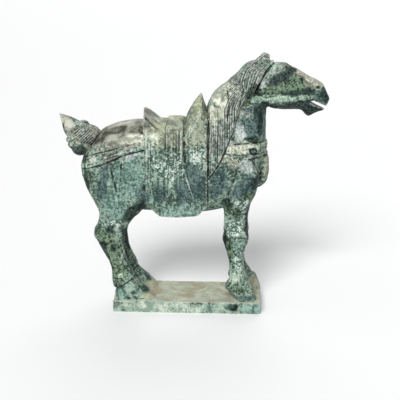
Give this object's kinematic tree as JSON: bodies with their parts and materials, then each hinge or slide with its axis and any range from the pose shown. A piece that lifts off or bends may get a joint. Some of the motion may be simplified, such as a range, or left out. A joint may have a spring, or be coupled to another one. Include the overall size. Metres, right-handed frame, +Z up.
{
  "type": "jade horse figure",
  "caption": "Saddled horse figure standing on a rectangular plinth, carved with it from the same block of mottled green stone, with a fluted mane and a bound tail.",
  "frame": {"origin": "centre of the plinth's underside, on the surface that the figure stands on", "axes": "+X the way the horse faces, +Y to its left, +Z up"},
  "size_m": [0.3995, 0.1084, 0.39],
  "materials": {
    "green_stone": "satin polished nephrite-like stone, dark green mottled with pale mint, cream where it has weathered"
  },
  "bodies": {
    "root": {"horse_on_plinth": "green_stone"}
  },
  "joints": []
}
